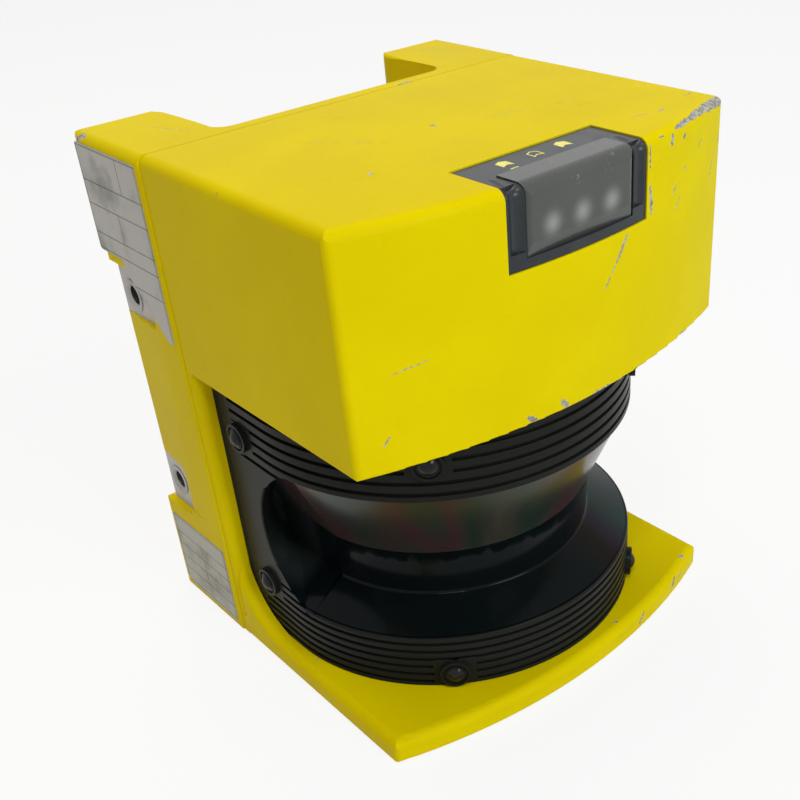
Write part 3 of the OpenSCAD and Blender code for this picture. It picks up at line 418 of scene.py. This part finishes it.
def rib_edge(a, b, m, n):
    """Long edge of a groove, where the outside turns level into it."""
    lesser, greater = sorted((abs(m.z), abs(n.z)))
    return lesser < 0.02 and greater > 0.99 and all(
        on_outside(p) and rib_z[0] < p.z < rib_z[1] for p in (a, b))


window = softened("window", window_black(), [
    (side_rim, 1.8), (flange_edge, 0.7), (neck_foot, 0.8), (rib_edge, 0.2)], clamp=False)

# A web across the deep end of each funnel closes it against the ledge.
web_size, web_x, web_y, web_z = (6.4, 0.6, 26.0), 57.2, 24.3, 54.0
for side in (-1, 1):
    bpy.ops.object.select_all(action="DESELECT")
    bpy.ops.mesh.primitive_cube_add(size=1.0, location=(side * web_x * MM, web_y * MM, web_z * MM))
    web = bpy.context.object
    web.scale = [v * MM for v in web_size]
    bpy.ops.object.transform_apply(location=True, rotation=True, scale=True)
    bpy.ops.object.mode_set(mode="EDIT")
    bpy.ops.mesh.select_all(action="SELECT")
    bpy.ops.mesh.bevel(offset=0.15 * MM, segments=2, affect="EDGES")
    bpy.ops.object.mode_set(mode="OBJECT")
    web.data.materials.append(window.data.materials[0])
    window.select_set(True)
    bpy.context.view_layer.objects.active = window
    bpy.ops.object.join()


# ------------------------------------------------------------ window screws
# Domed steel screws, blacked, with a worn shine on the crowns. They pull the
# window's bosses onto the drums of the front housing.

def blacked_steel():
    made, shader, place = finish("blacked steel", Specular_IOR_Level=0.2)
    worn = from_to(grain(place, 500.0, 3.0), 0.5, 0.7)
    feed(shader, Base_Color=mixed(worn, (0.006, 0.006, 0.006, 1), (0.016, 0.016, 0.016, 1)),
         Roughness=0.12 + worn * 0.12, Normal=bumped(grain(place, 1200.0), 0.002))
    return made


cover("window_screws", blacked_steel())


# ---------------------------------------------------------------- indicator
# A dark plastic cap lies in the hood's top front edge and frames a smoked
# lens. Three lamps stand behind the lens, and their light is painted on it as
# soft grey spots. Three small pointed tags, one for each lamp, and a dash are
# printed on the cap.

lamp_x, spot_y, spot_z = (-11.7, 0.0, 11.7), -73.0, 171.9
ink_z, ink_depth, rim_width = 184.6, 0.05, 0.4


def cap_plastic():
    made, shader, place = finish("cap plastic", Specular_IOR_Level=0.3)
    rubbed = from_to(grain(place, 120.0, 4.0), 0.5, 0.8)
    feed(shader, Base_Color=mixed(rubbed, (0.020, 0.023, 0.028, 1), (0.034, 0.037, 0.042, 1)),
         Roughness=0.30 + rubbed * 0.12, Normal=bumped(grain(place, 1100.0), 0.006))
    return made


def smoked_lens():
    """Smoked plastic, with a painted glow before each lamp, and scuffed along its top edge."""
    clear_smoke, hazy_smoke = (0.050, 0.051, 0.049, 1), (0.072, 0.074, 0.071, 1)
    painted_glow_colour, scratched = (0.34, 0.34, 0.33, 1), (0.36, 0.36, 0.34, 1)
    made, shader, place = finish("smoked lens", IOR=1.5)
    # Painted glow: the smoke is paler in a soft spot before each lamp.
    spots = []
    for x in lamp_x:
        near = place.node("Mapping", {"vector_type": "TEXTURE"}, Vector=place,
                          Location=(x * MM, spot_y * MM, spot_z * MM), Scale=(6.6 * MM, 30 * MM, 6.6 * MM))
        spots.append(1.0 - from_to(near.length(), 0.0, 1.0))
    painted_glow = most(*spots)
    haze = grain(place, 45.0, 3.0)
    scuff = from_to(grain(place, 420.0, 5.0, 0.7), 0.60, 0.74) * past(place.axis("Z"), 180.5, 2.5)
    smoke = mixed(haze, clear_smoke, hazy_smoke)
    smoke = mixed(painted_glow * painted_glow * 0.8, smoke, painted_glow_colour)
    feed(shader, Base_Color=mixed(scuff * 0.5, smoke, scratched), Roughness=0.24 + scuff * 0.3,
         Normal=bumped(haze * 0.3 + scuff, 0.02))
    return made


def lamp_resin():
    made, shader, place = finish("lamp resin", roughness=0.2)
    feed(shader, Base_Color=mixed(grain(place, 300.0), (0.75, 0.75, 0.70, 1), (0.85, 0.85, 0.80, 1)))
    return made


def tag_outline(middle, length, width, ring):
    """A tag lying on the cap: a square with one pointed end, or only its rim."""
    x, y = (v * MM for v in middle)
    bpy.ops.object.select_all(action="DESELECT")
    bpy.ops.mesh.primitive_plane_add(size=1.0, location=(x, y, ink_z * MM))
    tag = bpy.context.object
    tag.scale = (width * MM, length * MM, 1)
    bpy.ops.object.transform_apply(location=True, rotation=True, scale=True)
    bpy.ops.object.mode_set(mode="EDIT")
    bpy.ops.mesh.select_all(action="SELECT")
    bpy.ops.mesh.bisect(plane_co=(x, 0, 0), plane_no=(1, 0, 0))
    bpy.ops.object.mode_set(mode="OBJECT")
    for vertex in tag.data.vertices:
        vertex.select = abs(vertex.co.x - x) < 0.001 * MM and vertex.co.y > y
    bpy.ops.object.mode_set(mode="EDIT")
    bpy.ops.mesh.select_mode(type="VERT")
    bpy.ops.transform.translate(value=(0, length * 0.3 * MM, 0))
    bpy.ops.mesh.select_all(action="SELECT")
    if ring:
        bpy.ops.mesh.dissolve_limited(angle_limit=radians(1))
        bpy.ops.mesh.select_all(action="SELECT")
        bpy.ops.mesh.select_mode(type="FACE")
        bpy.ops.mesh.inset(thickness=rim_width * MM)
        bpy.ops.mesh.delete(type="FACE")
        bpy.ops.mesh.select_all(action="SELECT")
    bpy.ops.mesh.extrude_region_move(TRANSFORM_OT_translate={"value": (0, 0, ink_depth * MM)})
    bpy.ops.object.mode_set(mode="OBJECT")
    return tag


cover("indicator_bezel", cap_plastic())
cover("indicator_lens", smoked_lens())
cover("indicator_leds", lamp_resin())

tags = [tag_outline((-12.5, -59.6), 3.6, 4.0, False), tag_outline((-0.9, -59.8), 3.6, 4.0, True),
        tag_outline((10.2, -59.6), 3.8, 4.2, False), tag_outline((-12.9, -64.0), 0.5, 3.0, False)]
bpy.ops.object.select_all(action="DESELECT")
for tag in tags:
    tag.select_set(True)
bpy.context.view_layer.objects.active = tags[0]
bpy.ops.object.join()
tags = bpy.context.object
tags.name = "status_tags"
made, shader, place = finish("tag ink", roughness=0.45)
worn = from_to(grain(place, 900.0, 4.0), 0.4, 0.7)
feed(shader, Base_Color=mixed(worn, (0.95, 0.87, 0.20, 1), (0.78, 0.70, 0.16, 1)))
tags.data.materials.append(made)
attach(tags, "housing")


# ------------------------------------------------------------- side plates
# Two thin satin plates are glued to the side of the rear housing, bare but
# for the ruled fields that a maker would fill in. The upper one has a tongue
# that runs down beside the pocket.

wall_x, sheet_depth = -77.5, 0.15
plate_low, tongue_y, tongue_length = 145.0, 60.0, 23.5


def side_plate(name, low, high):
    """A flat sheet on the wall, from its low front corner to its high back one."""
    bpy.ops.object.select_all(action="DESELECT")
    (y0, z0), (y1, z1) = low, high
    bpy.ops.mesh.primitive_plane_add(
        size=1.0, location=(wall_x * MM, (y0 + y1) / 2 * MM, (z0 + z1) / 2 * MM), rotation=(0, -pi / 2, 0))
    plate = bpy.context.object
    plate.name = name
    plate.scale = ((z1 - z0) * MM, (y1 - y0) * MM, 1)
    bpy.ops.object.transform_apply(location=True, rotation=True, scale=True)
    return plate


def cut_corner(y, z, normal):
    """Cuts the chosen faces along a line through a point of the wall, and clears what lies past it."""
    bpy.ops.object.mode_set(mode="EDIT")
    bpy.ops.mesh.bisect(plane_co=(0, y * MM, z * MM), plane_no=normal, clear_outer=True)
    bpy.ops.object.mode_set(mode="OBJECT")


def finish_plate(plate, material, rounding):
    """Rounds the corners, gives the sheet its thickness and sets it on the wall."""
    bpy.ops.object.mode_set(mode="EDIT")
    bpy.ops.mesh.select_all(action="SELECT")
    bpy.ops.mesh.dissolve_limited(angle_limit=radians(1))
    bpy.ops.mesh.select_all(action="SELECT")
    bpy.ops.mesh.bevel(offset=rounding * MM, segments=4, affect="VERTICES")
    bpy.ops.mesh.select_all(action="SELECT")
    bpy.ops.mesh.extrude_region_move(TRANSFORM_OT_translate={"value": (-sheet_depth * MM, 0, 0)})
    bpy.ops.mesh.select_all(action="SELECT")
    bpy.ops.mesh.normals_make_consistent(inside=False)
    bpy.ops.object.mode_set(mode="OBJECT")
    plate.data.materials.append(material)
    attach(plate, "housing")


def plate_sheet(name, sheet, rows, columns):
    """Satin sheet with ruled fields: rows are heights, columns are (depth, low, high)."""
    made, shader, place = finish(name, Specular_IOR_Level=0.4)
    y, z = place.axis("Y"), place.axis("Z")
    lines = [1.0 - past(abs(z - row * MM), 0.22, 0.08) for row in rows]
    for column, low, high in columns:
        line = 1.0 - past(abs(y - column * MM), 0.22, 0.08)
        lines.append(line * past(z, low + 0.1, 0.1) * (1.0 - past(z, high + 0.1, 0.1)))
    ruled = most(*lines)
    stain = from_to(grain(place, 70.0, 5.0, 0.6), 0.45, 0.75)
    rubbed = from_to(grain(place, 300.0, 4.0, 0.7), 0.55, 0.72)
    dirty = tuple(c * 0.66 for c in sheet)
    satin = mixed(stain, (*sheet, 1), (*dirty, 1))
    feed(shader, Base_Color=mixed(ruled * 0.8 - rubbed * 0.3, satin, (0.04, 0.04, 0.04, 1)),
         Roughness=0.38 + stain * 0.15, Metallic=0.35 - stain * 0.2, Normal=bumped(grain(place, 700.0), 0.01))
    return made


upper_plate = side_plate("upper_plate", (34.8, plate_low), (76.2, 181.8))
bpy.ops.object.mode_set(mode="EDIT")
bpy.ops.mesh.select_all(action="SELECT")
bpy.ops.mesh.bisect(plane_co=(0, tongue_y * MM, 0), plane_no=(0, 1, 0))
bpy.ops.mesh.select_all(action="DESELECT")
bpy.ops.object.mode_set(mode="OBJECT")
for edge in upper_plate.data.edges:
    ends = [upper_plate.data.vertices[i].co / MM for i in edge.vertices]
    edge.select = all(end.z < plate_low + 0.1 and end.y < tongue_y + 0.1 for end in ends)
bpy.ops.object.mode_set(mode="EDIT")
bpy.ops.mesh.select_mode(type="EDGE")
bpy.ops.mesh.extrude_region_move(TRANSFORM_OT_translate={"value": (0, 0, -tongue_length * MM)})
bpy.ops.mesh.select_mode(type="FACE")
bpy.ops.mesh.select_all(action="DESELECT")
bpy.ops.object.mode_set(mode="OBJECT")
for face in upper_plate.data.polygons:
    face.select = face.center.z < plate_low * MM
cut_corner(38.5, 121.8, (0, 0.68, -0.73))
finish_plate(upper_plate, plate_sheet(
    "upper plate", (0.40, 0.385, 0.34), rows=[181.0, 169.5, 161.5, 151.5, 145.8, 137.0],
    columns=[(35.4, 123, 181), (75.6, 146, 181), (55.0, 151.5, 161.5), (48.0, 169.5, 181)]), 1.2)
lower_plate = side_plate("lower_plate", (34.8, 2.6), (73.0, 36.4))
cut_corner(69.8, 2.6, (0, 0.5, -0.86))
finish_plate(lower_plate, plate_sheet(
    "lower plate", (0.36, 0.34, 0.27), rows=[35.6, 28.0, 22.0, 16.0, 10.0, 3.6],
    columns=[(35.6, 3.6, 35.6), (72.2, 5, 35.6), (54.0, 10, 28)]), 1.0)


# ------------------------------------------------------------ circuit boards
# Green lacquered boards with their tracks showing through faintly. The two
# large ones are screwed to turned brass posts.

def board_lacquer():
    made, shader, place = finish("board lacquer")
    tracks = from_to(grain(place, 320.0, 1.0), 0.49, 0.52)
    feed(shader, Base_Color=mixed(tracks, (0.010, 0.085, 0.030, 1), (0.018, 0.130, 0.045, 1)),
         Roughness=0.32 + tracks * 0.1, Normal=bumped(tracks, 0.02))
    return made


lacquer = board_lacquer()
for board in ("indicator_board", "receiver_board", "main_board", "power_board"):
    cover(board, lacquer)
brass = turned_steel("turned brass", (0.72, 0.52, 0.22))
for posts in ("board_standoffs", "power_standoffs"):
    cover(posts, brass)


# ---------------------------------------------------- motor and mirror unit
# A flat glass mirror at half a right angle on a moulded drum, on the shaft
# of a small motor with a slotted disc for its position. The motor hangs on a
# milled flange, and a fork sensor stands around the disc's rim.

def mirror_glass():
    made, shader, place = finish("mirror coating", metallic=1.0)
    dust = from_to(grain(place, 200.0, 4.0), 0.6, 0.8)
    feed(shader, Base_Color=mixed(dust, (0.90, 0.91, 0.92, 1), (0.80, 0.81, 0.82, 1)),
         Roughness=0.03 + dust * 0.1)
    return made


def machine_plastic(name, tone):
    dark, light = (tone, tone, tone * 1.05, 1), (tone * 1.6, tone * 1.6, tone * 1.7, 1)
    made, shader, place = finish(name)
    feed(shader, Base_Color=mixed(grain(place, 150.0), dark, light),
         Roughness=0.42 + grain(place, 400.0) * 0.12, Normal=bumped(grain(place, 900.0), 0.02))
    return made


grey_steel = (0.50, 0.50, 0.50)
aluminium = turned_steel("milled aluminium", (0.72, 0.72, 0.73), 700.0)
cover("scan_mirror", mirror_glass())
for piece in ("mirror_hub", "encoder_sensor"):
    cover(piece, machine_plastic(piece + " plastic", 0.02))
for piece in ("motor_flange", "encoder_disc"):
    cover(piece, aluminium)
for piece in ("motor_can", "shaft", "shaft_bearings"):
    cover(piece, turned_steel(piece + " steel", grey_steel, 1000.0))
cover("rotor_magnet", machine_plastic("magnet", 0.06))
cover("motor_stator", turned_steel("winding copper", (0.62, 0.28, 0.14), 500.0))


# ------------------------------------------------------------------- optics
# A ground glass lens and a brass laser barrel look down on the mirror from a
# black moulded tube, which hangs from a milled aluminium plate.

def optic_glass():
    made, shader, place = finish("optic glass", IOR=1.5, Transmission_Weight=1.0)
    feed(shader, Base_Color=mixed(grain(place, 50.0), (0.92, 0.97, 0.98, 1), (0.95, 0.98, 1.0, 1)),
         Roughness=0.02 + grain(place, 80.0) * 0.02)
    return made


cover("receiver_lens", optic_glass())
cover("laser_module", brass)
cover("optics_tube", machine_plastic("optics_tube plastic", 0.02))
cover("optics_plate", aluminium)


# ------------------------------------------------------------------ sockets
# Two nine-way sockets in the rear recess: steel shells with black moulded
# inserts and brass pins, held by jack screws at their ends.

cover("socket_inserts", machine_plastic("socket_inserts plastic", 0.02))
cover("contact_pins", brass)
for piece in ("data_socket", "power_socket", "jack_screws"):
    cover(piece, turned_steel(piece + " steel", grey_steel, 1000.0))


# ------------------------------------------------------------------- studio
# A pale floor in an even pale surround, with a soft lamp before the object,
# another over it, and a thin strip of light that glints on the window.

def plain_rays(tree):
    """1 for the rays that meet a plain white background: direct, mirrored, or through glass."""
    path, kinds = tree.nodes.new("ShaderNodeLightPath"), ("Camera", "Glossy", "Transmission")
    return most(*[Wire(tree, path.outputs["Is " + kind + " Ray"]) for kind in kinds])


bpy.ops.object.select_all(action="DESELECT")
bpy.ops.mesh.primitive_plane_add(size=8.0, location=(0, 0, -0.2 * MM))
floor = bpy.context.object
floor.name = "floor"
bpy.ops.object.transform_apply(location=True, rotation=True, scale=True)
made, shader, place = finish("floor", roughness=0.8, Specular_IOR_Level=0.2)
tree = made.node_tree
feed(shader, Base_Color=mixed(grain(place, 3.0), (0.90, 0.90, 0.90, 1), (0.91, 0.91, 0.91, 1)))
rays = plain_rays(tree)
white = rays.node("Emission", Color=(1, 1, 1, 1), Strength=1.0)
blend = rays.node("MixShader", i0=rays * 0.85, i1=Wire(tree, shader.outputs[0]), i2=white)
tree.links.new(blend.socket, tree.nodes["Material Output"].inputs["Surface"])
floor.data.materials.append(made)

world = bpy.data.worlds.new("surround")
bpy.context.scene.world = world
world.use_nodes = True
tree = world.node_tree
even = tree.nodes["Background"]
even.inputs["Color"].default_value = (1.0, 0.955, 0.93, 1)
even.inputs["Strength"].default_value = 0.24
rays = plain_rays(tree)
pale = rays.node("Background", Color=(1, 1, 1, 1), Strength=1.0)
blend = rays.node("MixShader", i0=rays, i1=Wire(tree, even.outputs[0]), i2=pale)
tree.links.new(blend.socket, tree.nodes["World Output"].inputs["Surface"])


def soft_lamp(name, place, aim, size, power, colour):
    lamp = bpy.data.lights.new(name, "AREA")
    lamp.shape, lamp.size, lamp.size_y = "RECTANGLE", size[0], size[1]
    lamp.energy, lamp.color = power, colour
    stand = bpy.data.objects.new(name, lamp)
    bpy.context.scene.collection.objects.link(stand)
    stand.location = place
    stand.rotation_euler = (Vector(aim) - Vector(place)).to_track_quat("-Z", "Y").to_euler()


soft_lamp("key", (0.2, -1.45, 0.9), (0, 0, 0.09), (0.7, 0.7), 12.4, (0.84, 1.0, 0.93))
soft_lamp("top", (0.1, 0.5, 1.5), (0, 0, 0.1), (0.9, 0.9), 8.2, (1.0, 0.95, 0.93))
soft_lamp("glint", (-0.38, -0.46, 1.14), (0, 0, 0.06), (0.3, 0.012), 3.0, (1, 1, 1))

# The camera stands before the left front corner and looks down, rolled a little.
turn, tilt, roll = radians(-39.36), radians(33.52), radians(-3.97)
stand = Vector((-0.21361, -0.28461, 0.28121))
back = Vector((sin(turn) * cos(tilt), -cos(turn) * cos(tilt), sin(tilt)))
right = Vector((0, 0, 1)).cross(back).normalized()
up = back.cross(right)
side = right * cos(roll) + up * sin(roll)
head = up * cos(roll) - right * sin(roll)
lens = bpy.data.cameras.new("camera")
lens.lens, lens.sensor_width = 49.9599, 36.0
lens.shift_x, lens.shift_y = -0.1, 0.1
lens.clip_start = 0.01
camera = bpy.data.objects.new("camera", lens)
bpy.context.scene.collection.objects.link(camera)
camera.matrix_world = Matrix.Translation(stand) @ Matrix((side, head, back)).transposed().to_4x4()
bpy.context.scene.camera = camera
bpy.context.scene.view_settings.view_transform = "Standard"
